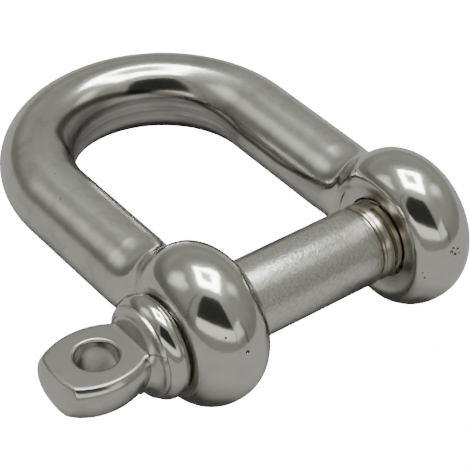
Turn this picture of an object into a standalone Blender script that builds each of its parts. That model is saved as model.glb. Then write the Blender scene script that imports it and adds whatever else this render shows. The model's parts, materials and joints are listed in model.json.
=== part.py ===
"""Screw-pin D shackle with a 12 mm bar: a one-piece steel body and a one-piece screw pin.

Everything is drawn about the pin's axis: X runs along the pin towards the
tapped lug, Y from the pin to the crown, Z square to the body's plane. The empty
shackle_rest then lays the whole shackle down as it rests on a floor, on both
lugs and the crown, with the origin under the middle of its bounding box.
"""
import math

import bmesh
import bpy

# ---- Body: a round bar bent to a D, with a boss (lug) on each end ----
BAR_DIAMETER = 0.0120
LEG_CENTRES = 0.0381            # between the legs' centre lines; the crown is a half circle
LEG_LENGTH = 0.0357             # from the pin's axis to the start of the crown
JAW_WIDTH = 0.0237              # between the lugs' inner faces
LUG_THICKNESS = 0.0135
LUG_DIAMETER = 0.0244
LUG_RIM_FLAT = 0.0005           # what the full-round edge leaves straight
NEAR_SEAT_DEPTH = 0.00065       # spot face under the collar, on the plain lug
NEAR_SEAT_DIAMETER = 0.0172
FAR_SEAT_DEPTH = 0.00235        # spot face round the tapped hole, inside the jaw
FAR_SEAT_DIAMETER = 0.0172
BORE_CHAMFER = 0.0004

# ---- Screw pin ----
PIN_DIAMETER = 0.0120
PIN_CLEARANCE = 0.0003          # round the shank and round the thread's crests
PIN_END_RECESS = 0.0003         # pin's end below the tapped lug's outer face
PIN_END_CHAMFER = 0.0008
THREAD_PITCH = 0.00125
THREAD_SHOWN = 0.00345          # thread that stands in the jaw
GROOVE_WIDTH = 0.0005           # run-out groove behind the thread
SHANK_EDGE = 0.0003             # chamfer on the shank's end
SEAT_GAP = 0.0003               # collar to its seat
COLLAR_DIAMETER = 0.0158
COLLAR_THICKNESS = 0.0033
COLLAR_BULGE = 0.0005           # how far the rim's middle stands out from its edges
SHOULDER_DIAMETER = 0.0139
SHOULDER_LENGTH = 0.0009
WAIST_DIAMETER = 0.0108
WAIST_DISTANCE = 0.0021         # these four run from the collar's back
EYE_DISTANCE = 0.0075
TIP_DISTANCE = 0.0150
WALL_DISTANCE = 0.0017          # foot of the wall where the flats end
WALL_LEAN = 0.0008              # how far the wall leans towards the collar
WALL_HEIGHT = 0.0036            # height over which it leans
EYE_WIDTH = 0.0135
EYE_THICKNESS = 0.0062
EYE_OFFSET = 0.0002             # the flats' mid-plane above the pin's axis
EYE_HOLE_DIAMETER = 0.0063
EYE_HOLE_CHAMFER = 0.0004

# ---- Faceting ----
BAR_SIDES_RESOLUTION = 8        # 4 + 2 x this many sides
CROWN_SEGMENTS = 20
LUG_STEPS = 32
LUG_EDGE_SEGMENTS = 6
PIN_STEPS = 24
HOLE_STEPS = 32
RIM_SEGMENTS = 4
EYE_SEGMENTS = 7
CUT_MARGIN = 0.0040             # how far a cutter runs past what it cuts
THREAD_MARGIN = 0.0004          # how far a thread cutter starts outside the metal
MERGE = 0.00001
SHARP_ANGLE = math.radians(35)

# ---- Worked out from the above ----
BAR_RADIUS = BAR_DIAMETER / 2
CROWN_RADIUS = LEG_CENTRES / 2
LUG_RADIUS = LUG_DIAMETER / 2
LUG_MIDDLE = (JAW_WIDTH + LUG_THICKNESS) / 2
LUG_OUTER = JAW_WIDTH / 2 + LUG_THICKNESS
NEAR_SEAT = -(LUG_OUTER - NEAR_SEAT_DEPTH)
FAR_SEAT = JAW_WIDTH / 2 + FAR_SEAT_DEPTH
PIN_RADIUS = PIN_DIAMETER / 2
BORE_RADIUS = PIN_RADIUS + PIN_CLEARANCE
THREAD_DEPTH = THREAD_PITCH * 0.6134    # height of a 60 degree thread
THREAD_START = FAR_SEAT - THREAD_SHOWN
PIN_END = LUG_OUTER - PIN_END_RECESS
COLLAR_FACE = NEAR_SEAT - SEAT_GAP
COLLAR_BACK = COLLAR_FACE - COLLAR_THICKNESS
EYE_MIDDLE = COLLAR_BACK - EYE_DISTANCE
TIP = COLLAR_BACK - TIP_DISTANCE
# The eye is an egg whose outline passes through the waist's radius at the waist.
EYE_SEMI_AXIS = (EYE_DISTANCE - WAIST_DISTANCE) / math.sqrt(1 - (WAIST_DIAMETER / EYE_WIDTH) ** 2)

# Lying down: the lugs and the crown touch the floor, so the crown hangs lower.
REACH = LEG_LENGTH + CROWN_RADIUS
REST_TILT = math.asin((LUG_RADIUS - BAR_RADIUS) / REACH)
CROWN_FAR = REACH * math.cos(REST_TILT) + BAR_RADIUS
REST_X = -(LUG_OUTER + TIP) / 2
REST_Y = (LUG_RADIUS - CROWN_FAR) / 2


def new_collection(name):
    collection = bpy.data.collections.new(name)
    bpy.context.scene.collection.children.link(collection)
    return collection


def steel(name, color, roughness):
    material = bpy.data.materials.new(name)
    material.use_nodes = True
    shader = material.node_tree.nodes["Principled BSDF"]
    shader.inputs["Base Color"].default_value = (*color, 1.0)
    shader.inputs["Metallic"].default_value = 1.0
    shader.inputs["Roughness"].default_value = roughness
    return material


def add_object(name, data, collection, rest):
    piece = bpy.data.objects.new(name, data)
    collection.objects.link(piece)
    piece.parent = rest
    return piece


def turned(name, profile, steps, collection, rest, offset=0.0, turns=1, closed=False):
    """Turn a profile of (radius, distance along X) points about the pin's axis.

    With an offset per turn it winds into a helix, and a closed profile makes
    the helix a solid cord.
    """
    mesh = bpy.data.meshes.new(name)
    edges = [(i, i + 1) for i in range(len(profile) - 1)]
    if closed:
        edges.append((len(profile) - 1, 0))
    mesh.from_pydata([(radius, 0.0, along) for radius, along in profile], edges, [])
    piece = add_object(name, mesh, collection, rest)
    piece.rotation_euler = (0.0, math.radians(90), 0.0)
    screw = piece.modifiers.new("turn", "SCREW")
    screw.axis = "Z"
    screw.steps = steps
    screw.render_steps = steps
    screw.screw_offset = offset
    screw.iterations = turns
    screw.use_merge_vertices = not closed
    screw.merge_threshold = MERGE
    screw.use_normal_calculate = closed
    return piece


def made_mesh(piece):
    """Replace a curve, or an object with modifiers, by the closed mesh that it makes."""
    bpy.context.view_layer.update()
    evaluated = piece.evaluated_get(bpy.context.evaluated_depsgraph_get())
    mesh = bpy.data.meshes.new_from_object(evaluated)
    work = bmesh.new()
    work.from_mesh(mesh)
    bmesh.ops.remove_doubles(work, verts=work.verts, dist=MERGE)
    open_edges = [edge for edge in work.edges if edge.is_boundary]
    bmesh.ops.holes_fill(work, edges=open_edges, sides=0)
    bmesh.ops.recalc_face_normals(work, faces=work.faces)
    work.to_mesh(mesh)
    work.free()
    solid = add_object(piece.name + "_solid", mesh, piece.users_collection[0], piece.parent)
    solid.rotation_euler = piece.rotation_euler
    solid.location = piece.location
    name = piece.name
    bpy.data.objects.remove(piece)
    solid.name = name
    return solid


def boolean(piece, operation, other):
    modifier = piece.modifiers.new(f"{operation.lower()}_{other.name}", "BOOLEAN")
    modifier.operation = operation
    modifier.solver = "EXACT"
    modifier.object = other


def finish(piece, material):
    """Apply the modifiers, so that the finished mesh can be shaded."""
    solid = made_mesh(piece)
    solid.data.materials.clear()
    solid.data.materials.append(material)
    solid.data.shade_smooth()
    solid.data.set_sharp_from_angle(angle=SHARP_ANGLE)
    return solid


def arc(centre, radius, start, end, segments):
    """Points of (radius, along) on an arc, its angles in degrees from the outward direction."""
    points = []
    for i in range(segments + 1):
        angle = math.radians(start + (end - start) * i / segments)
        points.append((centre[0] + radius * math.cos(angle), centre[1] + radius * math.sin(angle)))
    return points


def lug_profile(middle):
    edge = (LUG_THICKNESS - LUG_RIM_FLAT) / 2
    half_flat = LUG_RIM_FLAT / 2
    upper = arc((LUG_RADIUS - edge, middle + half_flat), edge, 90, 0, LUG_EDGE_SEGMENTS)
    lower = arc((LUG_RADIUS - edge, middle - half_flat), edge, 0, -90, LUG_EDGE_SEGMENTS)
    half = LUG_THICKNESS / 2
    return [(0.0, middle + half), *upper, *lower, (0.0, middle - half)]


def cylinder_profile(radius, low, high):
    return [(0.0, high), (radius, high), (radius, low), (0.0, low)]


def bore_profile(low, high, chamfer_low, chamfer_high):
    """A through bore with a chamfered mouth at each end, run on outside both faces."""
    wide = BORE_RADIUS + BORE_CHAMFER + CUT_MARGIN
    return [
        (0.0, high + CUT_MARGIN), (wide, chamfer_high + CUT_MARGIN),
        (BORE_RADIUS, chamfer_high - BORE_CHAMFER), (BORE_RADIUS, chamfer_low + BORE_CHAMFER),
        (wide, chamfer_low - CUT_MARGIN), (0.0, low - CUT_MARGIN),
    ]


def make_body(parts, cutters, rest, material):
    path = bpy.data.curves.new("shackle_body", "CURVE")
    path.dimensions = "3D"
    path.bevel_depth = BAR_RADIUS
    path.bevel_resolution = BAR_SIDES_RESOLUTION
    path.use_fill_caps = True
    route = [(CROWN_RADIUS, 0.0)]
    for i in range(CROWN_SEGMENTS + 1):
        angle = math.pi * i / CROWN_SEGMENTS
        route.append((CROWN_RADIUS * math.cos(angle), LEG_LENGTH + CROWN_RADIUS * math.sin(angle)))
    route.append((-CROWN_RADIUS, 0.0))
    spline = path.splines.new("POLY")
    spline.points.add(len(route) - 1)
    for point, (x, y) in zip(spline.points, route):
        point.co = (x, y, 0.0, 1.0)
    body = made_mesh(add_object("shackle_body", path, parts, rest))

    for name, middle in (("plain_lug", -LUG_MIDDLE), ("tapped_lug", LUG_MIDDLE)):
        boolean(body, "UNION", turned(name, lug_profile(middle), LUG_STEPS, cutters, rest))

    low, high = NEAR_SEAT - CUT_MARGIN - NEAR_SEAT_DEPTH, NEAR_SEAT
    seat = cylinder_profile(NEAR_SEAT_DIAMETER / 2, low, high)
    boolean(body, "DIFFERENCE", turned("collar_seat", seat, LUG_STEPS, cutters, rest))
    low, high = 0.0, FAR_SEAT
    seat = cylinder_profile(FAR_SEAT_DIAMETER / 2, low, high)
    boolean(body, "DIFFERENCE", turned("jaw_seat", seat, LUG_STEPS, cutters, rest))

    inner = JAW_WIDTH / 2
    near = bore_profile(-LUG_OUTER, -inner, NEAR_SEAT, -inner)
    boolean(body, "DIFFERENCE", turned("plain_bore", near, LUG_STEPS, cutters, rest))
    far = bore_profile(inner, LUG_OUTER, FAR_SEAT, LUG_OUTER)
    boolean(body, "DIFFERENCE", turned("tapped_bore", far, LUG_STEPS, cutters, rest))

    half_groove = THREAD_PITCH * 0.42
    inside = BORE_RADIUS - THREAD_MARGIN
    widened = half_groove * (1 + THREAD_MARGIN / THREAD_DEPTH)
    first = FAR_SEAT + THREAD_PITCH
    groove = [(inside, first + widened), (BORE_RADIUS + THREAD_DEPTH, first), (inside, first - widened)]
    turns = int((LUG_OUTER - FAR_SEAT) / THREAD_PITCH) - 1
    tap = turned("tap", groove, PIN_STEPS, cutters, rest, THREAD_PITCH, turns, True)
    boolean(body, "DIFFERENCE", made_mesh(tap))
    return finish(body, material)


def pin_profile():
    """The turned pin, from its threaded end to the tip of the eye."""
    root = PIN_RADIUS - THREAD_DEPTH
    collar_edge = COLLAR_DIAMETER / 2 - COLLAR_BULGE
    points = [
        (0.0, PIN_END), (PIN_RADIUS - PIN_END_CHAMFER, PIN_END), (PIN_RADIUS, PIN_END - PIN_END_CHAMFER),
        (PIN_RADIUS, THREAD_START), (root, THREAD_START),
        (root, THREAD_START - GROOVE_WIDTH), (PIN_RADIUS - SHANK_EDGE, THREAD_START - GROOVE_WIDTH),
        (PIN_RADIUS, THREAD_START - GROOVE_WIDTH - SHANK_EDGE), (PIN_RADIUS, COLLAR_FACE),
    ]
    for i in range(RIM_SEGMENTS + 1):
        share = i / RIM_SEGMENTS
        bulge = COLLAR_BULGE * 4 * share * (1 - share)
        points.append((collar_edge + bulge, COLLAR_FACE - COLLAR_THICKNESS * share))
    points.append((SHOULDER_DIAMETER / 2, COLLAR_BACK - SHOULDER_LENGTH))
    waist = COLLAR_BACK - WAIST_DISTANCE
    for i in range(EYE_SEGMENTS + 1):
        along = waist + (TIP - waist) * i / EYE_SEGMENTS
        share = (along - EYE_MIDDLE) / EYE_SEMI_AXIS
        points.append((EYE_WIDTH / 2 * math.sqrt(1 - share * share), along))
    points.append((0.0, TIP))
    return points


def wedge(name, side, cutters, rest):
    """What a mill takes away above (side 1) or below (side -1) the eye's flat."""
    flat = EYE_OFFSET + side * EYE_THICKNESS / 2
    top = flat + side * (EYE_WIDTH / 2 + CUT_MARGIN)
    foot = COLLAR_BACK - WALL_DISTANCE
    lean = WALL_LEAN / WALL_HEIGHT * abs(top - flat)
    outline = [(TIP - CUT_MARGIN, flat), (foot, flat), (foot + lean, top), (TIP - CUT_MARGIN, top)]
    curve = bpy.data.curves.new(name, "CURVE")
    curve.dimensions = "2D"
    curve.fill_mode = "BOTH"
    curve.extrude = EYE_WIDTH
    spline = curve.splines.new("POLY")
    spline.points.add(len(outline) - 1)
    spline.use_cyclic_u = True
    for point, (x, z) in zip(spline.points, outline):
        point.co = (x, z, 0.0, 1.0)
    piece = add_object(name, curve, cutters, rest)
    piece.rotation_euler = (math.radians(90), 0.0, 0.0)
    return made_mesh(piece)


def make_pin(parts, cutters, rest, material):
    pin = turned("screw_pin", pin_profile(), PIN_STEPS, parts, rest)

    half_groove = THREAD_PITCH * 0.42
    outside = PIN_RADIUS + THREAD_MARGIN
    widened = half_groove * (1 + THREAD_MARGIN / THREAD_DEPTH)
    first = THREAD_START + THREAD_PITCH * 0.3
    groove = [(outside, first + widened), (outside, first - widened), (PIN_RADIUS - THREAD_DEPTH, first)]
    turns = int((PIN_END - first) / THREAD_PITCH) + 2
    die = turned("die", groove, PIN_STEPS, cutters, rest, THREAD_PITCH, turns, True)
    boolean(pin, "DIFFERENCE", made_mesh(die))

    for name, side in (("upper_flat", 1), ("lower_flat", -1)):
        boolean(pin, "DIFFERENCE", wedge(name, side, cutters, rest))

    radius = EYE_HOLE_DIAMETER / 2
    half = EYE_THICKNESS / 2
    wide = radius + EYE_HOLE_CHAMFER + CUT_MARGIN
    hole_profile = [
        (0.0, half + CUT_MARGIN), (wide, half + CUT_MARGIN), (radius, half - EYE_HOLE_CHAMFER),
        (radius, EYE_HOLE_CHAMFER - half), (wide, -half - CUT_MARGIN), (0.0, -half - CUT_MARGIN),
    ]
    hole = turned("eye_hole", hole_profile, HOLE_STEPS, cutters, rest)
    hole.rotation_euler = (0.0, 0.0, 0.0)
    hole.location = (EYE_MIDDLE, 0.0, EYE_OFFSET)
    boolean(pin, "DIFFERENCE", hole)
    return finish(pin, material)


def main():
    for piece in list(bpy.data.objects):
        bpy.data.objects.remove(piece)
    parts = new_collection("d_shackle")
    cutters = new_collection("cutters")
    rest = bpy.data.objects.new("shackle_rest", None)
    parts.objects.link(rest)
    rest.rotation_euler = (-REST_TILT, 0.0, 0.0)
    rest.location = (REST_X, REST_Y, LUG_RADIUS)

    make_body(parts, cutters, rest, steel("polished_steel", (0.60, 0.59, 0.56), 0.14))
    make_pin(parts, cutters, rest, steel("turned_steel", (0.56, 0.55, 0.52), 0.28))

    for cutter in cutters.objects:
        cutter.hide_render = True
        cutter.display_type = "WIRE"


main()
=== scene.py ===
"""Looks of the screw-pin D shackle: a forged, polished body and a turned screw pin.

Both pieces are drawn about the pin's axis, with X along the pin towards the tapped
lug, Y from the pin to the crown and Z square to the body's plane, and are then laid
down as the shackle rests on the floor, on its two lugs and its crown.
"""

import json
import math

import bmesh
import bpy
from mathutils import Euler, Matrix, Vector


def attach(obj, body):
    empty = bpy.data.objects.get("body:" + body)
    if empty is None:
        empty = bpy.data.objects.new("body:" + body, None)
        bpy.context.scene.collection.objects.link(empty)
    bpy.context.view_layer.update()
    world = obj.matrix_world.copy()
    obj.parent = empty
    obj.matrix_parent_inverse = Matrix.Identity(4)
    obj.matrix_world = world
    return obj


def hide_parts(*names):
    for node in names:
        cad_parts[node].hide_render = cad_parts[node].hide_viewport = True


bl_info = {
    "name": "Screw-pin D shackle",
    "version": (1, 0, 0),
    "blender": (4, 5, 0),
    "location": "View3D > Sidebar > Shackle",
    "description": "Builds a polished D shackle, its screw pin and a light tent around them",
    "category": "Add Mesh",
}

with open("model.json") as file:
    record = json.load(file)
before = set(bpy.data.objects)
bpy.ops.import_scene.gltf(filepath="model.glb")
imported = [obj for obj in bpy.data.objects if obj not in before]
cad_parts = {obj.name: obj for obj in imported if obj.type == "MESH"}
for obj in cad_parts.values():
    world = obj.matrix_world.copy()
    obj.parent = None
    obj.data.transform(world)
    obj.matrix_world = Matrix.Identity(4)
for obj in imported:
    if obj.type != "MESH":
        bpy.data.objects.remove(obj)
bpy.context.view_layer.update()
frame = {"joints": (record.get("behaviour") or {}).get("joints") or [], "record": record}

MM = 0.001
PIN_JOINT = frame["joints"][0]
PIN_ORIGIN = Vector(PIN_JOINT["pos_m"])
EYE_AXIS = next(m["axis"] for m in frame["record"]["mounts"] if m["name"] == "eye_upper")
REST_TILT = math.asin(EYE_AXIS[1])
LAY_DOWN = Matrix.Translation(PIN_ORIGIN) @ Matrix.Rotation(-REST_TILT, 4, "X")


# ---------------------------------------------------------------- sizes and colours

def length(label, text, millimetres):
    """A size that the sidebar shows as a length."""
    return bpy.props.FloatProperty(
        name=label, description=text, default=millimetres * MM, min=0.0, unit="LENGTH", precision=5)


def colour(label, text, value):
    """A colour that the sidebar shows as a swatch."""
    return bpy.props.FloatVectorProperty(
        name=label, description=text, default=value, min=0.0, max=1.0, size=3, subtype="COLOR")


def brightness(label, text, value):
    """A brightness that the sidebar shows as a plain number."""
    return bpy.props.FloatProperty(name=label, description=text, default=value, min=0.0)


class ShackleBodySizes(bpy.types.PropertyGroup):
    """Sizes and colours of the bent body."""

    bar_diameter: length("Bar diameter", "Thickness of the round bar", 12.0)
    leg_centres: length("Leg centres", "Distance between the two legs' centre lines", 38.1)
    leg_length: length("Leg length", "From the pin's axis to where the crown starts", 35.7)
    crown_flat: length("Crown flat", "How much the inside of the crown is flattened", 0.4)
    lug_diameter: length("Lug diameter", "Across each lug", 24.3)
    lug_thickness: length("Lug thickness", "Along the pin, through one lug", 13.5)
    lug_edge: length("Lug edge", "Radius of the lugs' full-round edge", 6.5)
    jaw_width: length("Jaw width", "Between the lugs' inner faces", 23.7)
    blend: length("Blend", "How far the leg's blend into the lug reaches", 2.9)
    bore_diameter: length("Bore diameter", "Hole through the plain lug", 12.6)
    near_seat_diameter: length("Outer seat", "Spot face under the collar", 17.2)
    near_seat_depth: length("Outer seat depth", "Depth of the collar's spot face", 0.65)
    far_seat_diameter: length("Inner seat", "Floor of the recess round the tapped hole", 16.4)
    far_seat_depth: length("Inner seat depth", "Depth of the recess round the tapped hole", 2.35)
    grain: length("Grain", "Size of the faces on the forged skin", 0.36)
    steel: colour("Steel", "Colour of the polished steel", (0.60, 0.595, 0.565))
    # Also the colour of the painted shade on the bar's inner side.
    worn_steel: colour("Worn steel", "Colour of the duller streaks and blotches", (0.47, 0.46, 0.43))
    # Painted shade: this colour darkens the inside of the crown.
    scale: colour("Scale", "Colour of the unpolished skin inside the crown", (0.27, 0.262, 0.258))
    # Painted shade: the dark line along the bar's inner top edge stands in for the other leg's dark
    # reflection.
    painted_shade_colour: colour("Painted shade", "Colour of the dark line where the polish ends", (0.07, 0.066, 0.056))
    # Also the colour of the painted shade along the recess's corner.
    stain_and_shade: colour("Stain and shade", "Colour of the tea stain in the pits", (0.10, 0.065, 0.035))


class ScrewPinSizes(bpy.types.PropertyGroup):
    """Sizes and colours of the screw pin."""

    diameter: length("Pin diameter", "Shank and thread crests", 12.0)
    pitch: length("Pitch", "Thread pitch", 1.25)
    end: length("End", "From the jaw's middle to the threaded end", 25.05)
    shank_end: length("Shank end", "From the jaw's middle to the end of the plain shank", 10.3)
    groove: length("Groove", "Width of the run-out groove behind the thread", 0.5)
    collar_face: length("Collar face", "From the jaw's middle to the collar's face", 25.0)
    collar_thickness: length("Collar thickness", "Thickness of the collar", 3.3)
    collar_diameter: length("Collar diameter", "Across the collar's bulge", 15.8)
    shoulder_diameter: length("Shoulder diameter", "Across the shoulder behind the collar", 13.9)
    waist_diameter: length("Waist diameter", "Across the neck between shoulder and eye", 10.8)
    eye_length: length("Eye length", "Long axis of the eye's egg shape", 18.0)
    eye_width: length("Eye width", "Across the eye", 13.5)
    eye_rise: length("Eye rise", "Widest level of the egg shape above the pin's axis", 1.4)
    eye_crown: length("Eye crown", "Height of the egg shape above its widest level", 3.89)
    eye_keel: length("Eye keel", "Depth of the egg shape below its widest level", 6.6)
    eye_top: length("Eye top", "Upper flat above the pin's axis", 3.3)
    eye_bottom: length("Eye bottom", "Lower flat below the pin's axis", 3.0)
    hole_diameter: length("Hole diameter", "Hole through the eye", 6.2)
    grain: length("Grain", "Size of the faces on the forged eye", 0.14)
    steel: colour("Steel", "Colour of the turned steel", (0.57, 0.565, 0.535))
    worn_steel: colour("Worn steel", "Colour of the duller blotches", (0.44, 0.43, 0.40))
    milled_steel: colour("Milled steel", "Colour of the eye's flats", (0.26, 0.256, 0.236))
    bright_steel: colour("Bright steel", "Colour of the ground shank", (0.68, 0.67, 0.63))
    oily_steel: colour("Oily steel", "Colour of the thread next to the jaw", (0.36, 0.32, 0.25))


class LightTentSettings(bpy.types.PropertyGroup):
    """The floor, the tent of soft light and the camera."""

    floor: colour("Floor", "Colour of the floor", (0.288, 0.286, 0.280))
    floor_size: length("Floor size", "Width of the floor", 3000.0)
    backdrop: brightness("Backdrop", "Brightness of the floor and backdrop as seen", 16.0)
    wall: brightness("Wall", "Brightness of the tent's walls", 0.345)
    roof_gain: brightness("Roof gain", "What the tent gains towards its roof", 0.06)
    back_gain: brightness("Back gain", "What the tent gains low down behind the shackle", 0.10)
    halo: brightness("Halo", "Brightness of the roof round the lamp", 0.88)
    lamp: brightness("Lamp", "Brightness of the square lamp's rim", 18.0)
    lamp_centre: brightness("Lamp centre", "Brightness of the square lamp's middle", 1.4)
    sill: brightness("Sill", "Brightness of the panel below the tent's opening", 1.4)
    opening: brightness("Opening", "Brightness of the tent's opening", 0.04)
    right_panel: brightness("Right panel", "Brightness of the panel low on the right", 1.1)
    left_patch: brightness("Left patch", "Brightness of the soft light on the left", 1.7)
    right_patch: brightness("Right patch", "Brightness of the soft light on the right", 1.6)
    seam: brightness("Seam", "Brightness of the tent's seams", 0.12)
    lens: bpy.props.FloatProperty(
        name="Lens", description="Focal length in millimetres", default=149.32, min=1.0)
    azimuth: bpy.props.FloatProperty(
        name="Azimuth", description="Camera's turn about the body's normal",
        default=math.radians(-36.92), subtype="ANGLE")
    elevation: bpy.props.FloatProperty(
        name="Elevation", description="Camera's height above the body's plane",
        default=math.radians(38.34), subtype="ANGLE")
    distance: length("Distance", "From the camera to what it looks at", 289.9)


# ---------------------------------------------------------------- modelling by hand

def deselect_all():
    """Nothing stays selected, and no mesh is left in edit mode."""
    if bpy.context.object and bpy.context.object.mode != "OBJECT":
        bpy.ops.object.mode_set(mode="OBJECT")
    bpy.ops.object.select_all(action="DESELECT")


def pick(piece):
    """The piece alone is selected and active."""
    deselect_all()
    piece.select_set(True)
    bpy.context.view_layer.objects.active = piece


def settle(piece):
    """The piece's turn, place and scale go into its mesh."""
    pick(piece)
    bpy.ops.object.transform_apply(location=True, rotation=True, scale=True)


def edit(piece, what="VERT"):
    """The piece is opened in edit mode with nothing selected."""
    pick(piece)
    bpy.ops.object.mode_set(mode="EDIT")
    bpy.ops.mesh.select_mode(type=what)
    bpy.ops.mesh.select_all(action="DESELECT")


def close_edit():
    """Back to object mode."""
    bpy.ops.object.mode_set(mode="OBJECT")


def select_points(piece, test):
    """Selects the vertices whose place passes the test, in edit mode."""
    mesh = bmesh.from_edit_mesh(piece.data)
    for vertex in mesh.verts:
        vertex.select_set(test(vertex.co))
    mesh.select_flush_mode()
    bmesh.update_edit_mesh(piece.data)


def select_edges(piece, test):
    """Selects the edges whose two ends pass the test, in edit mode."""
    mesh = bmesh.from_edit_mesh(piece.data)
    for line in mesh.edges:
        line.select_set(test(line.verts[0].co, line.verts[1].co))
    bmesh.update_edit_mesh(piece.data)


def close_shell(piece):
    """Open ends are filled and all faces turned outwards."""
    edit(piece)
    bpy.ops.mesh.select_all(action="SELECT")
    bpy.ops.mesh.remove_doubles(threshold=1e-7)
    bpy.ops.mesh.fill_holes(sides=0)
    bpy.ops.mesh.select_all(action="SELECT")
    bpy.ops.mesh.normals_make_consistent(inside=False)
    close_edit()


def turned(name, profile, sides=128):
    """A closed turned solid about the X axis, through the (x, radius) pairs of a profile."""
    place, radius = profile[0]
    deselect_all()
    bpy.ops.mesh.primitive_circle_add(
        vertices=sides, radius=radius, location=(place, 0, 0), rotation=(0, math.pi / 2, 0))
    piece = bpy.context.object
    piece.name = name
    settle(piece)
    edit(piece)
    bpy.ops.mesh.select_all(action="SELECT")
    for next_place, next_radius in profile[1:]:
        bpy.ops.mesh.extrude_region_move(
            TRANSFORM_OT_translate={"value": (next_place - place, 0, 0)})
        growth = next_radius / radius
        bpy.ops.transform.resize(value=(1, growth, growth), center_override=(next_place, 0, 0))
        place, radius = next_place, next_radius
    close_edit()
    close_shell(piece)
    return piece


def block(name, low, high):
    """A box between two corners."""
    low, high = Vector(low), Vector(high)
    deselect_all()
    bpy.ops.mesh.primitive_cube_add(size=1, location=(low + high) / 2, scale=high - low)
    piece = bpy.context.object
    piece.name = name
    settle(piece)
    return piece


def finish_with(piece, kind, **settings):
    """Adds a modifier to the piece and applies it."""
    pick(piece)
    modifier = piece.modifiers.new(kind.title(), kind)
    for name, value in settings.items():
        setattr(modifier, name, value)
    bpy.ops.object.modifier_apply(modifier=modifier.name)


def combine(piece, other, operation):
    """Joins, cuts or intersects the piece with another, which is then removed."""
    finish_with(piece, "BOOLEAN", operation=operation, solver="EXACT", object=other)
    mesh = other.data
    bpy.data.objects.remove(other)
    bpy.data.meshes.remove(mesh)


def even_skin(piece, grain, rounds):
    """Joined shapes become one skin of even faces with softened edges."""
    finish_with(piece, "REMESH", mode="VOXEL", voxel_size=grain, use_smooth_shade=True)
    finish_with(piece, "SMOOTH", factor=0.5, iterations=rounds)


def lay_down(piece, angle):
    """Smooths the piece's round faces and lays it down as the shackle rests."""
    pick(piece)
    piece.matrix_world = LAY_DOWN
    settle(piece)
    bpy.ops.object.shade_smooth_by_angle(angle=angle)


def screw_groove(name, start, end, root, crest, pitch, width):
    """A helical cutter with a V section that winds to the right along X."""
    deselect_all()
    bpy.ops.mesh.primitive_circle_add(
        vertices=3, radius=1, location=(start, 0, 0), rotation=(math.pi / 2, 0, 0))
    piece = bpy.context.object
    piece.name = name
    settle(piece)
    corners = ((start, root), (start - width / 2, crest), (start + width / 2, crest))
    for vertex, (place, radius) in zip(piece.data.vertices, corners):
        vertex.co = (place, 0, radius)
    edit(piece)
    bpy.ops.mesh.select_all(action="SELECT")
    bpy.ops.mesh.edge_face_add()
    bpy.ops.mesh.delete(type="ONLY_FACE")
    close_edit()
    turns = max(1, round((end - start) / pitch))
    finish_with(
        piece, "SCREW", axis="X", angle=2 * math.pi, screw_offset=pitch, iterations=turns,
        steps=64, render_steps=64, use_merge_vertices=False)
    close_shell(piece)
    return piece


# ---------------------------------------------------------------- the forged body

def bent_bar(sizes):
    """The round bar: one leg, a half-circle crown and the other leg."""
    half_span = sizes.leg_centres / 2
    deselect_all()
    bpy.ops.mesh.primitive_circle_add(
        vertices=96, radius=sizes.bar_diameter / 2, location=(-half_span, 0, 0),
        rotation=(math.pi / 2, 0, 0))
    bar = bpy.context.object
    bar.name = "bent_bar"
    settle(bar)
    edit(bar)
    bpy.ops.mesh.select_all(action="SELECT")
    bpy.ops.mesh.extrude_region_move(TRANSFORM_OT_translate={"value": (0, sizes.leg_length, 0)})
    bpy.ops.mesh.spin(
        steps=120, angle=math.pi, center=(0, sizes.leg_length, 0), axis=(0, 0, 1))
    bpy.ops.mesh.extrude_region_move(TRANSFORM_OT_translate={"value": (0, -sizes.leg_length, 0)})
    close_edit()
    close_shell(bar)
    return bar


def flatten_crown(body, sizes):
    """The bending former left the inside of the crown flat."""
    inside = sizes.leg_centres / 2 - sizes.bar_diameter / 2
    deselect_all()
    bpy.ops.mesh.primitive_cylinder_add(
        vertices=256, radius=inside + sizes.crown_flat, depth=40 * MM,
        location=(0, sizes.leg_length, 0))
    former = bpy.context.object
    settle(former)
    combine(body, former, "DIFFERENCE")


def forged_lug(sizes, side):
    """One boss: a disc with a full-round edge, on one side of the jaw."""
    middle = side * (sizes.jaw_width + sizes.lug_thickness) / 2
    deselect_all()
    bpy.ops.mesh.primitive_cylinder_add(
        vertices=128, radius=sizes.lug_diameter / 2, depth=sizes.lug_thickness,
        location=(middle, 0, 0), rotation=(0, math.pi / 2, 0))
    lug = bpy.context.object
    lug.name = "lug"
    settle(lug)
    edit(lug, "EDGE")
    select_edges(lug, lambda a, b: abs(a.x - b.x) < 1e-6)
    bpy.ops.mesh.bevel(offset=sizes.lug_edge, segments=24, affect="EDGES", clamp_overlap=False)
    close_edit()
    close_shell(lug)
    return lug


def off_bar(sizes, point):
    """Distance of a point from the bar's surface along a leg."""
    return math.hypot(abs(point.x) - sizes.leg_centres / 2, point.z) - sizes.bar_diameter / 2


def off_lug(sizes, point):
    """Distance of a point from the nearer lug's surface."""
    middle = (sizes.jaw_width + sizes.lug_thickness) / 2
    out = math.hypot(point.y, point.z) - (sizes.lug_diameter / 2 - sizes.lug_edge)
    along = abs(abs(point.x) - middle) - (sizes.lug_thickness / 2 - sizes.lug_edge)
    return math.hypot(max(out, 0), max(along, 0)) - sizes.lug_edge


def soften_junctions(body, sizes):
    """The crease where each leg meets its lug becomes a soft blend."""
    for reach, rounds in ((0.75, 80), (1.0, 80), (1.2, 60), (1.5, 20)):
        limit = reach * sizes.blend
        edit(body)
        select_points(body, lambda p: (
            p.y > 0 and off_bar(sizes, p) < limit and off_lug(sizes, p) < limit
            and min(off_bar(sizes, p), off_lug(sizes, p)) > -0.3 * MM))
        bpy.ops.mesh.vertices_smooth(factor=0.5, repeat=rounds)
        close_edit()


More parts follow.
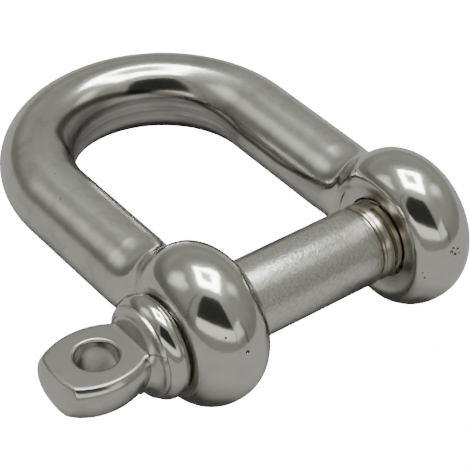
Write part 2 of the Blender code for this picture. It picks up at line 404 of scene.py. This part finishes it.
def soften_recess(body, sizes):
    """The rim and the corner of the recess are worn round."""
    floor = far_seat_place(sizes)
    edit(body)
    select_points(body, lambda p: (
        floor - 3 * MM < p.x < floor + 0.6 * MM and math.hypot(p.y, p.z) < 10.6 * MM
        and (p.y < 6 * MM or off_bar(sizes, p) < 1 * MM)))
    bpy.ops.mesh.vertices_smooth(factor=0.5, repeat=40)
    close_edit()


def drill_plain_lug(body, sizes):
    """Bore and collar seat of the lug on the eye's side."""
    radius = sizes.bore_diameter / 2
    outer = sizes.jaw_width / 2 + sizes.lug_thickness
    inner = sizes.jaw_width / 2
    seat = outer - sizes.near_seat_depth
    chamfer = 0.4 * MM
    cutter = turned("bore_cutter", (
        (-outer - 1 * MM, sizes.near_seat_diameter / 2 + 0.1 * MM),
        (-seat, sizes.near_seat_diameter / 2),
        (-seat + 1e-6, radius + chamfer),
        (-seat + chamfer, radius),
        (-inner - chamfer, radius),
        (-inner + 0.6 * MM, radius + 1.0 * MM)))
    combine(body, cutter, "DIFFERENCE")


def far_seat_place(sizes):
    """Where the floor of the recess round the tapped hole lies along the pin."""
    return sizes.jaw_width / 2 + sizes.far_seat_depth


def recess_far_lug(body, sizes):
    """The shallow cone-sided recess round the tapped hole, cut before the skin is softened."""
    reach = 3.4 * MM
    flare = 3.5 * MM
    corner = 0.3 * MM
    floor = far_seat_place(sizes)
    radius = sizes.far_seat_diameter / 2
    cutter = turned("recess_cutter", (
        (floor - reach, radius + flare),
        (floor, radius - corner)))
    combine(body, cutter, "DIFFERENCE")


def tap_far_lug(body, sizes, pin):
    """Hole and thread of the lug that the pin screws into."""
    radius = sizes.bore_diameter / 2
    outer = sizes.jaw_width / 2 + sizes.lug_thickness
    floor = far_seat_place(sizes)
    beyond = 0.6 * MM
    chamfer = 0.5 * MM
    cutter = turned("tap_cutter", (
        (floor - 2 * MM, radius),
        (outer - chamfer, radius),
        (outer + beyond, radius + chamfer + beyond)))
    combine(body, cutter, "DIFFERENCE")
    thread_root = radius + 0.55 * MM
    thread_foot = radius - 0.15 * MM
    thread_width = 1.05 * MM
    groove = screw_groove(
        "tap_groove", floor + 0.2 * MM, outer + beyond, thread_root, thread_foot,
        pin.pitch, thread_width)
    combine(body, groove, "DIFFERENCE")


LUG_PITS = (      # side, millimetres off the lug's middle, degrees round the pin, radius
    (-1, -0.2, 165, 0.27),
    (-1, -2.7, 150, 0.16),
    (1, -0.4, 167, 0.24),
    (1, 0.0, 165, 0.20),
    (1, 0.2, 170, 0.27),
    (1, 0.8, 167, 0.22),
    (1, 1.0, 171, 0.16),
    (1, -4.3, 185, 0.14),
    (1, -4.6, 180, 0.12),
)
LEG_PITS = (      # side, millimetres from the pin's axis, degrees up from the leg's outside, radius
    (-1, 35, 85, 0.12),
    (-1, 30, 62, 0.12),
)


def pit_places(sizes):
    """Places and radii of the pits, on the lugs' and the legs' own surfaces."""
    pits = []
    lug_middle = (sizes.jaw_width + sizes.lug_thickness) / 2
    straight = sizes.lug_thickness / 2 - sizes.lug_edge
    for side, off, degrees, radius in LUG_PITS:
        bend = max(abs(off) * MM - straight, 0)
        out = sizes.lug_diameter / 2 - sizes.lug_edge + math.sqrt(sizes.lug_edge ** 2 - bend ** 2)
        turn = math.radians(degrees)
        place = (side * lug_middle + off * MM, out * math.cos(turn), out * math.sin(turn))
        pits.append((Vector(place), radius * MM))
    bar_radius = sizes.bar_diameter / 2
    for side, along, degrees, radius in LEG_PITS:
        turn = math.radians(degrees)
        out = sizes.leg_centres / 2 + bar_radius * math.cos(turn)
        pits.append((Vector((side * out, along * MM, bar_radius * math.sin(turn))), radius * MM))
    return pits


def dent_with_pits(body, sizes):
    """Small pits that the polishing left in the forging."""
    pits = []
    for place, radius in pit_places(sizes):
        deselect_all()
        bpy.ops.mesh.primitive_ico_sphere_add(
            subdivisions=2, radius=radius, location=place, scale=(1.0, 0.8, 1.2))
        pits.append(bpy.context.object)
        settle(pits[-1])
    pick(pits[0])
    for pit in pits:
        pit.select_set(True)
    bpy.ops.object.join()
    combine(body, pits[0], "DIFFERENCE")


def forged_body(sizes, pin):
    """The whole body: bar and lugs as one skin, then seats, bore and thread."""
    body = bent_bar(sizes)
    flatten_crown(body, sizes)
    for side in (-1, 1):
        combine(body, forged_lug(sizes, side), "UNION")
    recess_far_lug(body, sizes)
    even_skin(body, sizes.grain, 6)
    soften_junctions(body, sizes)
    soften_recess(body, sizes)
    drill_plain_lug(body, sizes)
    tap_far_lug(body, sizes, pin)
    dent_with_pits(body, sizes)
    body.name = "forged_body"
    body.data.name = "forged_body"
    lay_down(body, math.radians(20))
    return body


# ---------------------------------------------------------------- the screw pin

def collar_profile(sizes):
    """The collar's bull nose, from its back to its face."""
    back = -sizes.collar_face - sizes.collar_thickness
    half = sizes.collar_thickness / 2
    bulge = 0.8 * MM
    curve = (half ** 2 + bulge ** 2) / (2 * bulge)
    steps = 16
    profile = []
    for step in range(steps + 1):
        off = half * (2 * step / steps - 1) * 0.985
        drop = curve - math.sqrt(curve ** 2 - off ** 2)
        profile.append((back + half + off, sizes.collar_diameter / 2 - drop))
    return profile


def shank_and_collar(sizes):
    """The turned part of the pin, from the collar's back to the threaded end."""
    radius = sizes.diameter / 2
    face = -sizes.collar_face
    back = face - sizes.collar_thickness
    edge = sizes.shank_end
    groove = edge + sizes.groove
    chamfer = 0.8 * MM
    crest = radius - 0.03 * MM
    profile = [(back, 5.0 * MM), (back + 1e-6, 6.9 * MM)]
    profile += collar_profile(sizes)
    profile += [
        (face - 1e-6, 6.9 * MM),
        (face, radius),
        (edge - 0.25 * MM, radius),
        (edge - 0.08 * MM, radius - 0.06 * MM),
        (edge, radius - 0.25 * MM),
        (edge + 0.05 * MM, radius - 0.5 * MM),
        (groove, radius - 0.5 * MM),
        (groove + 0.15 * MM, radius - 0.22 * MM),
        (groove + 0.45 * MM, radius - 0.15 * MM),
        (groove + 0.55 * MM, radius - 0.35 * MM),
        (groove + 0.7 * MM, radius - 0.1 * MM),
        (groove + 0.95 * MM, crest),
        (sizes.end - chamfer, crest),
        (sizes.end, radius - chamfer),
    ]
    return turned("shank_and_collar", profile)


def neck_profile(sizes):
    """The neck's flare, from inside the collar to inside the eye."""
    back = -sizes.collar_face - sizes.collar_thickness
    shoulder = sizes.shoulder_diameter / 2
    waist = sizes.waist_diameter / 2
    profile = [(back + 0.8 * MM, shoulder), (back - 0.55 * MM, shoulder)]
    reach = 1.9 * MM
    for step in range(1, 13):
        turn = math.pi / 2 * step / 12
        place = back - 0.6 * MM - reach * (1 - math.cos(turn))
        profile.append((place, waist + (shoulder - 0.15 * MM - waist) * (1 - math.sin(turn))))
    profile.append((back - 3.6 * MM, waist))
    return profile


def milled_flat(eye, level, up, foot, tip):
    """Mills one flat of the eye, with a wall that leans back towards the collar."""
    reach = 9 * MM
    low, high = sorted((level, level + up * reach))
    mill = block("mill", (tip - 9 * MM, -15 * MM, low), (foot, 15 * MM, high))
    edit(mill)
    select_points(mill, lambda p: abs(p.x - foot) < 1e-6 and abs(p.z - level - up * reach) < 1e-6)
    bpy.ops.transform.translate(value=(reach * 0.8 / 3.6, 0, 0))
    close_edit()
    combine(eye, mill, "DIFFERENCE")


def round_drill(sizes, place):
    """The cutter for the eye's hole, which rounds the hole's two rims."""
    hole = sizes.hole_diameter / 2
    rim = 0.42 * MM
    half = []
    for step in range(7):
        turn = math.pi / 2 * step / 6
        half.append((rim * (1 - math.sin(turn)), hole + rim * (1 - math.cos(turn))))
    bottom = [(-sizes.eye_bottom + depth, r) for depth, r in reversed(half)]
    top = [(sizes.eye_top - depth, r) for depth, r in half]
    drill = turned("drill", (
        (-sizes.eye_bottom - 1 * MM, hole + rim), *bottom, *top,
        (sizes.eye_top + 1 * MM, hole + rim)), sides=96)
    drill.matrix_world = Matrix.Translation((place, 0, 0)) @ Matrix.Rotation(-math.pi / 2, 4, "Y")
    settle(drill)
    return drill


def egg(sizes, middle):
    """The eye before milling: an egg that is flatter above its widest level than below."""
    deselect_all()
    bpy.ops.mesh.primitive_uv_sphere_add(
        segments=96, ring_count=64, radius=1, location=(middle, 0, sizes.eye_rise),
        rotation=(0, math.pi / 2, 0),
        scale=(sizes.eye_crown, sizes.eye_width / 2, sizes.eye_length / 2))
    piece = bpy.context.object
    piece.name = "forged_eye"
    settle(piece)
    edit(piece)
    select_points(piece, lambda p: p.z < sizes.eye_rise + 1e-6)
    bpy.ops.transform.resize(
        value=(1, 1, sizes.eye_keel / sizes.eye_crown),
        center_override=(middle, 0, sizes.eye_rise))
    close_edit()
    return piece


def blunt_outline(sizes, tip):
    """A drum whose bulging wall blunts the eye's tip."""
    curve = 14 * MM
    level_of_tip = 0.2 * MM
    deselect_all()
    bpy.ops.mesh.primitive_cylinder_add(
        vertices=256, radius=curve, depth=24 * MM, location=(tip + curve, 0, level_of_tip))
    drum = bpy.context.object
    settle(drum)
    edit(drum)
    bpy.ops.mesh.select_all(action="SELECT")
    for level in (-6, -4, -3, -2, -1, 0, 1, 2, 3, 4):
        bpy.ops.mesh.bisect(
            plane_co=(0, 0, level_of_tip + level * MM), plane_no=(0, 0, 1))
        bpy.ops.mesh.select_all(action="SELECT")
    for level in (-12, -6, -4, -3, -2, -1, 1, 2, 3, 4, 12):
        height = level_of_tip + level * MM
        select_points(drum, lambda p: abs(p.z - height) < 1e-6)
        shrink = 1 - 0.088 * min(level * level, 30) * MM / curve
        bpy.ops.transform.resize(
            value=(shrink, shrink, 1), center_override=(tip + curve, 0, height))
    close_edit()
    close_shell(drum)
    return drum


def forged_eye(sizes):
    """The pin's flat eye on its neck, with rounded sides and a blunt tip."""
    back = -sizes.collar_face - sizes.collar_thickness
    middle = back - 7.6 * MM
    tip = back - 14.97 * MM
    foot = back - 1.7 * MM
    eye = egg(sizes, middle)
    combine(eye, turned("neck", neck_profile(sizes)), "UNION")
    combine(eye, blunt_outline(sizes, tip), "INTERSECT")
    milled_flat(eye, sizes.eye_top, 1, foot, tip)
    milled_flat(eye, -sizes.eye_bottom, -1, foot, tip)
    even_skin(eye, sizes.grain, 12)
    combine(eye, round_drill(sizes, middle + 0.2 * MM), "DIFFERENCE")
    return eye


def screw_pin(sizes):
    """The whole pin: turned shank with its thread, collar, neck and eye."""
    pin = shank_and_collar(sizes)
    radius = sizes.diameter / 2
    first = sizes.shank_end + 2.4 * MM
    full = first + 1.35 * sizes.pitch
    crest = radius + 0.12 * MM
    for start, end, depth, width in (
            (first, first + sizes.pitch, 0.75 * MM, 0.85 * MM),
            (full, sizes.end + sizes.pitch, 0.767 * MM, 1.15 * MM)):
        groove = screw_groove(
            "thread_groove", start, end, radius - depth, crest, sizes.pitch, width)
        combine(pin, groove, "DIFFERENCE")
    combine(pin, forged_eye(sizes), "UNION")
    pin.name = "turned_pin"
    pin.data.name = "turned_pin"
    lay_down(pin, math.radians(24))
    return pin


# ---------------------------------------------------------------- shader nodes

class Wire:
    """A shader value that can be used in sums."""

    def __init__(self, sheet, socket):
        self.sheet = sheet
        self.socket = socket

    def maths(self, operation, *values):
        """A Math node fed with these values."""
        sockets = dict(enumerate(values))
        return self.sheet.wire("ShaderNodeMath", {"operation": operation}, sockets)

    def __add__(self, other):
        return self.maths("ADD", self, other)

    __radd__ = __add__

    def __sub__(self, other):
        return self.maths("SUBTRACT", self, other)

    def __rsub__(self, other):
        return self.maths("SUBTRACT", other, self)

    def __mul__(self, other):
        return self.maths("MULTIPLY", self, other)

    __rmul__ = __mul__

    def __truediv__(self, other):
        return self.maths("DIVIDE", self, other)

    def __neg__(self):
        return self * -1

    def __abs__(self):
        return self.maths("ABSOLUTE", self)

    def at_least(self, other):
        """The larger of the two."""
        return self.maths("MAXIMUM", self, other)

    def power(self, other):
        """This value raised to a power."""
        return self.maths("POWER", self, other)

    def rise(self, low, high):
        """0 below low, 1 above high, and a smooth step between."""
        return self.sheet.wire(
            "ShaderNodeMapRange", {"interpolation_type": "SMOOTHSTEP"},
            {"Value": self, "From Min": low, "From Max": high})

    def within(self, low, high, soft):
        """1 between low and high, with soft edges."""
        return self.rise(low - soft, low + soft) * (1 - self.rise(high - soft, high + soft))

    def towards(self, other, mask):
        """This value, or the other one where the mask is 1."""
        return self + (other - self) * mask


class Sheet:
    """A node tree that is filled in from the start."""

    def __init__(self, tree):
        self.tree = tree
        tree.nodes.clear()

    def node(self, kind, settings=None, sockets=None):
        """A node with its settings, then its sockets' values or links."""
        made = self.tree.nodes.new(kind)
        made.location = (220 * (len(self.tree.nodes) % 12), -240 * (len(self.tree.nodes) // 12))
        for name, value in (settings or {}).items():
            setattr(made, name, value)
        for name, value in (sockets or {}).items():
            if isinstance(value, Wire):
                self.tree.links.new(value.socket, made.inputs[name])
            else:
                made.inputs[name].default_value = value
        return made

    def wire(self, kind, settings=None, sockets=None, output=0):
        """One output of a new node."""
        return Wire(self, self.node(kind, settings, sockets).outputs[output])

    def tint(self, mask, first, second):
        """The first colour, or the second where the mask is 1."""
        def ready(shade):
            """A plain colour gets its fourth part."""
            return shade if isinstance(shade, Wire) else (*shade, 1.0)
        return self.wire(
            "ShaderNodeMix", {"data_type": "RGBA"},
            {0: mask, 6: ready(first), 7: ready(second)}, output=2)

    def noise(self, place, scale, detail=2.0, roughness=0.5):
        """Noise between 0 and 1, of this many waves to a metre."""
        return self.wire(
            "ShaderNodeTexNoise", {},
            {"Vector": place, "Scale": scale, "Detail": detail, "Roughness": roughness})

    def split(self, vector):
        """The three parts of a vector."""
        made = self.node("ShaderNodeSeparateXYZ", {}, {0: vector})
        return [Wire(self, made.outputs[axis]) for axis in range(3)]

    def join(self, x, y, z):
        """A vector from its three parts."""
        return self.wire("ShaderNodeCombineXYZ", {}, {0: x, 1: y, 2: z})

    def about_pin(self):
        """Object coordinates turned and moved to the pin's axis."""
        place = self.wire("ShaderNodeTexCoord", output=3)
        turn = Euler((REST_TILT, 0, 0))
        start = -(turn.to_matrix() @ PIN_ORIGIN)
        return self.wire(
            "ShaderNodeMapping", {}, {"Vector": place, "Location": start, "Rotation": turn})

    def bump(self, height, distance, strength=1.0, under=None):
        """A bump of this height in metres, on top of another."""
        sockets = {"Height": height, "Distance": distance, "Strength": strength}
        if under:
            sockets["Normal"] = under
        return self.wire("ShaderNodeBump", {}, sockets)


def steel_material(name, sheet_maker, sizes):
    """A metal whose colour, roughness and normal come from the maker function."""
    material = bpy.data.materials.new(name)
    material.use_nodes = True
    sheet = Sheet(material.node_tree)
    shade, roughness, normal = sheet_maker(sheet, sizes)
    metal = sheet.wire("ShaderNodeBsdfPrincipled", {}, {
        "Base Color": shade, "Metallic": 1.0, "Roughness": roughness, "Normal": normal})
    sheet.node("ShaderNodeOutputMaterial", {}, {"Surface": metal})
    return material


def dress(piece, material):
    """The material becomes the piece's only one."""
    piece.data.materials.clear()
    piece.data.materials.append(material)


def polished_forging(sheet, sizes):
    """Polished steel: bright lugs, a softer bar with drawn streaks, dull machined seats, and painted
    shade on the bar's inner side and along the recess's corner.
    """
    place = sheet.about_pin()
    x, y, z = sheet.split(place)
    out = (y * y + z * z).power(0.5)
    peel = sheet.noise(place, 420, 2.0, 0.5)
    fine = sheet.noise(place, 2600, 3.0, 0.6)
    cloud = sheet.noise(place, 260, 4.0, 0.6)

    round_crown = (y - sizes.leg_length).at_least(0)
    from_middle = (x * x + round_crown * round_crown).power(0.5)
    streaks = sheet.noise(sheet.join(from_middle, z, y * 0.07), 1500, 4.0, 0.6)
    on_bar = y.rise(10.5 * MM, 14 * MM)
    edge = 0.9 * MM + 1.7 * MM * (1 - y.rise(9 * MM, 24 * MM))
    edge = edge.towards(3.55 * MM - x * 0.1, y.rise(34 * MM, 46 * MM))
    inward = on_bar * (1 - from_middle.rise(16.0 * MM, 17.0 * MM))
    inside = inward * (1 - (z - edge).rise(-0.2 * MM, 0.2 * MM))
    # Painted shade: a band along the inner top edge of the legs and crown, in place of the other
    # leg's dark reflection.
    edge_shade_band = inward * (z - edge).within(-0.3 * MM, 0.45 * MM, 0.25 * MM)

    near_place = -(sizes.jaw_width / 2 + sizes.lug_thickness - sizes.near_seat_depth)
    near_seat = x.within(near_place - 0.06 * MM, near_place + 0.5 * MM, 0.03 * MM)
    near_seat = near_seat * (1 - out.rise(8.55 * MM, 8.65 * MM))
    in_bore = 1 - out.rise(7.0 * MM, 7.1 * MM)
    machined = near_seat.at_least(in_bore)
    in_recess = x.within(12.6 * MM, 14.9 * MM, 0.3 * MM) * (1 - out.rise(9.0 * MM, 9.8 * MM))
    rings = sheet.noise(sheet.join(x * 0.2, out, 0), 5200, 2.0, 0.6)

    # Painted shade: a dark arc along the corner of the recess round the tapped hole.
    shaded_recess_corner = out.within(8.12 * MM, 8.34 * MM, 0.04 * MM) * x.within(13.0 * MM, 14.7 * MM, 0.1 * MM)
    shaded_recess_corner = shaded_recess_corner * y.within(7.2 * MM, 8.2 * MM, 0.4 * MM) * z.rise(0.3 * MM, 1.0 * MM)
    pits_and_shaded_corner = shaded_recess_corner * cloud.rise(0.3, 0.5)
    for centre, radius in pit_places(sizes):
        off = sheet.join(x - centre.x, y - centre.y, z - centre.z)
        gap = sheet.wire("ShaderNodeVectorMath", {"operation": "LENGTH"}, {0: off}, output=1)
        pits_and_shaded_corner = 1 - (1 - pits_and_shaded_corner) * gap.rise(radius * 0.9, radius * 1.35)

    dull = cloud.rise(0.42, 0.70) * (0.35 + 0.35 * on_bar) + on_bar * 0.2
    shade = sheet.tint(dull, sizes.steel, sizes.worn_steel)
    in_crown = inside * y.rise(28 * MM, 40 * MM)
    # Painted shade on the bar's inner side, broken up by the drawn streaks, and darker still inside
    # the crown.
    shade = sheet.tint(inside * streaks.rise(0.35, 0.7) * 0.7, shade, sizes.worn_steel)
    shade = sheet.tint(in_crown * (0.35 + 0.6 * streaks.rise(0.35, 0.65)), shade, sizes.scale)
    # Painted shade along the bar's inner top edge.
    shade = sheet.tint(edge_shade_band * (0.72 + 0.3 * streaks), shade, sizes.painted_shade_colour)
    # Stain in the pits, and painted shade along the recess's corner.
    shade = sheet.tint(pits_and_shaded_corner * 0.85, shade, sizes.stain_and_shade)
    roughness = (0.075 + 0.05 * fine + 0.04 * cloud).towards(0.19 + 0.09 * streaks, on_bar)
    roughness = roughness.towards(0.095 + 0.06 * streaks, y.rise(38 * MM, 48 * MM))
    roughness = roughness.towards(0.26 + 0.12 * streaks, inside)
    roughness = roughness.towards(0.26 + 0.12 * rings, machined)
    roughness = roughness.towards(0.24 + 0.12 * rings, in_recess)
    roughness = roughness.towards(0.55, pits_and_shaded_corner)
    skin = peel + fine * 0.10 + on_bar * (streaks * 0.35 + fine * 0.12) + inside * streaks * 1.4
    normal = sheet.bump(skin * (1 - machined), 0.017 * MM)
    normal = sheet.bump(rings * machined, 0.03 * MM, 1.0, normal)
    return shade, roughness, normal


def turned_and_milled(sheet, sizes):
    """Turned shank, polished collar and satin, tumbled eye."""
    place = sheet.about_pin()
    x, y, z = sheet.split(place)
    out = (y * y + z * z).power(0.5)
    fine = sheet.noise(place, 3400, 3.0, 0.65)
    peel = sheet.noise(place, 700, 2.0, 0.5)
    cloud = sheet.noise(place, 330, 4.0, 0.6)
    face = -sizes.collar_face
    back = face - sizes.collar_thickness
    on_shank = x.rise(face + 0.02 * MM, face + 0.06 * MM)
    on_eye = 1 - x.rise(back - 0.5 * MM, back + 0.02 * MM)
    flats = on_eye * z.within(sizes.eye_top - 0.12 * MM, sizes.eye_top + 0.2 * MM, 0.04 * MM)
    by_thread = x.rise(sizes.shank_end - 0.1 * MM, sizes.shank_end + 0.1 * MM)
    lathe = sheet.noise(sheet.join(x, out * 0.15, 0), 6400, 3.0, 0.7)
    specks = sheet.noise(place, 2100, 3.0, 0.7)
    milling = sheet.noise(sheet.join(x * 0.3, y, 0), 4200, 3.0, 0.6)
    shade = sheet.tint(cloud.rise(0.45, 0.75) * 0.5, sizes.steel, sizes.worn_steel)
    shade = sheet.tint(on_shank * 0.8, shade, sizes.bright_steel)
    shade = sheet.tint(on_shank * specks.rise(0.46, 0.60) * 0.45, shade, sizes.worn_steel)
    shade = sheet.tint(flats * 0.9, shade, sizes.milled_steel)
    wall = on_eye * (1 - flats) * z.rise(sizes.eye_top - 0.3 * MM, sizes.eye_top + 0.3 * MM)
    shade = sheet.tint(by_thread * (0.5 + 0.4 * lathe), shade, sizes.oily_steel)
    roughness = (0.085 + 0.06 * fine).towards(0.10 + 0.24 * specks, on_shank)
    roughness = roughness.towards(0.15 + 0.08 * fine, on_eye)
    roughness = roughness.towards(0.26 + 0.08 * fine, flats.at_least(wall))
    normal = sheet.bump(peel * (1 - on_shank) * (1 - flats), 0.010 * MM)
    normal = sheet.bump(lathe * on_shank * (0.35 + by_thread), 0.006 * MM, 1.0, normal)
    grit = specks * on_shank * (1 - by_thread) * 4.5 + fine * on_eye * 0.10 + milling * flats * 0.12
    normal = sheet.bump(grit, 0.012 * MM, 1.0, normal)
    return shade, roughness, normal


# ---------------------------------------------------------------- floor, light and camera

FRONT = Vector((-0.606, -0.7955, 0.0))   # level, from the shackle towards the tent's opening
RIGHT = Vector((0.7955, -0.606, 0.0))


def tent_light(sheet, settings):
    """Brightness and tint of the light tent in each direction."""
    look = sheet.wire("ShaderNodeTexCoord", output=0)
    x, y, z = sheet.split(look)
    ahead = x * FRONT.x + y * FRONT.y
    right = x * RIGHT.x + y * RIGHT.y
    up = z.at_least(0.01)
    behind = (-ahead).rise(0.3, 0.8) * (1 - z.rise(0.3, 0.55))
    wall = settings.wall + settings.roof_gain * z.rise(0.1, 0.8) + settings.back_gain * behind
    horizon = z.within(-0.05, 0.30, 0.13) * (1 - 0.75 * ahead.rise(0.5, 0.9))
    wall = wall * (1 - (0.16 + 0.28 * (-right).rise(0.2, 0.8)) * horizon)

    over_right = right / up
    over_ahead = ahead / up
    above = z.rise(0.02, 0.06)
    halo = over_right.within(-0.45, 0.55, 0.30) * over_ahead.within(-0.85, 0.22, 0.30) * above
    lamp = over_right.within(-0.28, 0.37, 0.05) * over_ahead.within(-0.67, 0.02, 0.05) * above
    lamp_centre = over_right.within(-0.13, 0.19, 0.05) * over_ahead.within(-0.51, -0.16, 0.05) * above

    forward = ahead.at_least(0.01)
    front_right = right / forward
    front_up = z / forward
    facing = ahead.rise(0.02, 0.06)
    opening = front_right.within(-0.9, 1.0, 0.03) * front_up.within(0.67, 3.4, 0.04) * facing
    sill = front_right.within(-0.9, 1.0, 0.06) * front_up.within(0.30, 0.67, 0.05) * facing

    leftward = (-right).at_least(0.01)
    left_ahead = ahead / leftward
    left_up = z / leftward
    on_left = (-right).rise(0.02, 0.06)
    left_patch = left_ahead.within(-0.45, 0.12, 0.2) * on_left
    left_patch = left_patch * (left_up - 0.8 * abs(left_ahead + 0.15)).within(0.45, 1.15, 0.22)
    left_seam = left_ahead.within(0.62, 0.68, 0.02) * left_up.rise(0.05, 0.15) * on_left

    rightward = right.at_least(0.01)
    right_ahead = ahead / rightward
    right_up = z / rightward
    on_right = right.rise(0.02, 0.06)
    right_patch = right_ahead.within(-0.65, -0.22, 0.2) * right_up.within(0.95, 1.6, 0.3) * on_right
    right_seam = right_ahead.within(0.40, 0.46, 0.02) * right_up.within(-0.05, 0.6, 0.04) * on_right
    right_panel = right_ahead.within(0.45, 0.93, 0.05) * right_up.within(0.24, 0.72, 0.05) * on_right

    cloth, warm_sill, white = (0.975, 1.0, 0.895), (1.0, 0.98, 0.86), (1.0, 1.0, 1.0)
    light = wall.towards(settings.halo, halo)
    for strength, mask in (
            (settings.sill, sill),
            (settings.right_panel, right_panel),
            (settings.left_patch, left_patch),
            (settings.right_patch, right_patch),
            (settings.seam, left_seam.at_least(right_seam)),
            (settings.opening, opening),
            (settings.lamp, lamp),
            (settings.lamp_centre, lamp_centre)):
        light = light.towards(strength, mask)
    tint = sheet.tint(sill, cloth, warm_sill)
    tint = sheet.tint(lamp, tint, white)
    return light, tint


def build_tent(settings):
    """The world's shader: the tent for the metal, a plain pale backdrop behind it."""
    world = bpy.data.worlds.new("light_tent")
    world.use_nodes = True
    bpy.context.scene.world = world
    sheet = Sheet(world.node_tree)
    light, tint = tent_light(sheet, settings)
    seen = sheet.wire("ShaderNodeLightPath", output=0)
    light = light.towards(settings.backdrop, seen)
    tint = sheet.tint(seen, tint, (1.0, 1.0, 1.0))
    glow = sheet.wire("ShaderNodeBackground", {}, {"Color": tint, "Strength": light})
    sheet.node("ShaderNodeOutputWorld", {}, {"Surface": glow})


def build_floor(settings):
    """A plain pale floor that melts into the backdrop."""
    deselect_all()
    bpy.ops.mesh.primitive_plane_add(size=settings.floor_size)
    floor = bpy.context.object
    floor.name = "floor"
    material = bpy.data.materials.new("pale_floor")
    material.use_nodes = True
    sheet = Sheet(material.node_tree)
    card = sheet.wire("ShaderNodeBsdfDiffuse", {}, {"Color": (*settings.floor, 1.0)})
    glow = sheet.wire("ShaderNodeEmission", {}, {"Strength": settings.backdrop})
    seen = sheet.wire("ShaderNodeLightPath", output=0)
    both = sheet.wire("ShaderNodeMixShader", {}, {0: seen, 1: card, 2: glow})
    sheet.node("ShaderNodeOutputMaterial", {}, {"Surface": both})
    floor.data.materials.append(material)


def place_camera(settings):
    """The camera looks at the middle of the body, turned and raised about its plane."""
    camera = bpy.data.objects.new("camera", bpy.data.cameras.new("camera"))
    bpy.context.scene.collection.objects.link(camera)
    camera.data.sensor_width = 36.0
    camera.data.lens = settings.lens
    camera.data.clip_start = 10 * MM
    target = Vector((-2.412, 12.987, 0.0)) * MM      # about the pin, in the body's plane
    swing = Matrix.Rotation(settings.azimuth, 4, "Z")
    raised = Matrix.Rotation(math.pi / 2 - settings.elevation, 4, "X")
    back = Matrix.Translation((0, 0, settings.distance))
    camera.matrix_world = LAY_DOWN @ Matrix.Translation(target) @ swing @ raised @ back
    bpy.context.scene.camera = camera


# ---------------------------------------------------------------- operators and panel

class SHACKLE_OT_build_body(bpy.types.Operator):
    """Build the forged body with its seats, bore and thread"""

    bl_idname = "shackle.build_body"
    bl_label = "Build body"

    def execute(self, context):
        sizes = context.scene.shackle_body_sizes
        body = forged_body(sizes, context.scene.shackle_pin_sizes)
        dress(body, steel_material("polished_steel_look", polished_forging, sizes))
        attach(body, "shackle")
        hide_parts("shackle_body")
        return {"FINISHED"}


class SHACKLE_OT_build_pin(bpy.types.Operator):
    """Build the screw pin with its eye, collar and thread"""

    bl_idname = "shackle.build_pin"
    bl_label = "Build screw pin"

    def execute(self, context):
        sizes = context.scene.shackle_pin_sizes
        pin = screw_pin(sizes)
        dress(pin, steel_material("turned_steel_look", turned_and_milled, sizes))
        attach(pin, "pin")
        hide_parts("screw_pin")
        return {"FINISHED"}


class SHACKLE_OT_set_stage(bpy.types.Operator):
    """Set up the floor, the light tent and the camera"""

    bl_idname = "shackle.set_stage"
    bl_label = "Set stage"

    def execute(self, context):
        settings = context.scene.shackle_tent
        build_tent(settings)
        build_floor(settings)
        place_camera(settings)
        return {"FINISHED"}


OPERATORS = (SHACKLE_OT_build_body, SHACKLE_OT_build_pin, SHACKLE_OT_set_stage)


class SHACKLE_PT_sidebar(bpy.types.Panel):
    """The steps that build the shackle"""

    bl_label = "Shackle"
    bl_idname = "SHACKLE_PT_sidebar"
    bl_space_type = "VIEW_3D"
    bl_region_type = "UI"
    bl_category = "Shackle"

    def draw(self, context):
        for operator in OPERATORS:
            self.layout.operator(operator.bl_idname)
        for group in (
                context.scene.shackle_body_sizes, context.scene.shackle_pin_sizes,
                context.scene.shackle_tent):
            column = self.layout.column()
            for name in group.__annotations__:
                column.prop(group, name)


CLASSES = (ShackleBodySizes, ScrewPinSizes, LightTentSettings, *OPERATORS, SHACKLE_PT_sidebar)


def register():
    """Makes the classes and the scene's settings known to Blender."""
    for each in CLASSES:
        bpy.utils.register_class(each)
    bpy.types.Scene.shackle_body_sizes = bpy.props.PointerProperty(type=ShackleBodySizes)
    bpy.types.Scene.shackle_pin_sizes = bpy.props.PointerProperty(type=ScrewPinSizes)
    bpy.types.Scene.shackle_tent = bpy.props.PointerProperty(type=LightTentSettings)


def unregister():
    """Takes back what register did."""
    del bpy.types.Scene.shackle_tent
    del bpy.types.Scene.shackle_pin_sizes
    del bpy.types.Scene.shackle_body_sizes
    for each in reversed(CLASSES):
        bpy.utils.unregister_class(each)


def main():
    """Builds the shackle and its stage."""
    register()
    bpy.ops.shackle.build_body()
    bpy.ops.shackle.build_pin()
    bpy.ops.shackle.set_stage()


if __name__ == "__main__":
    main()
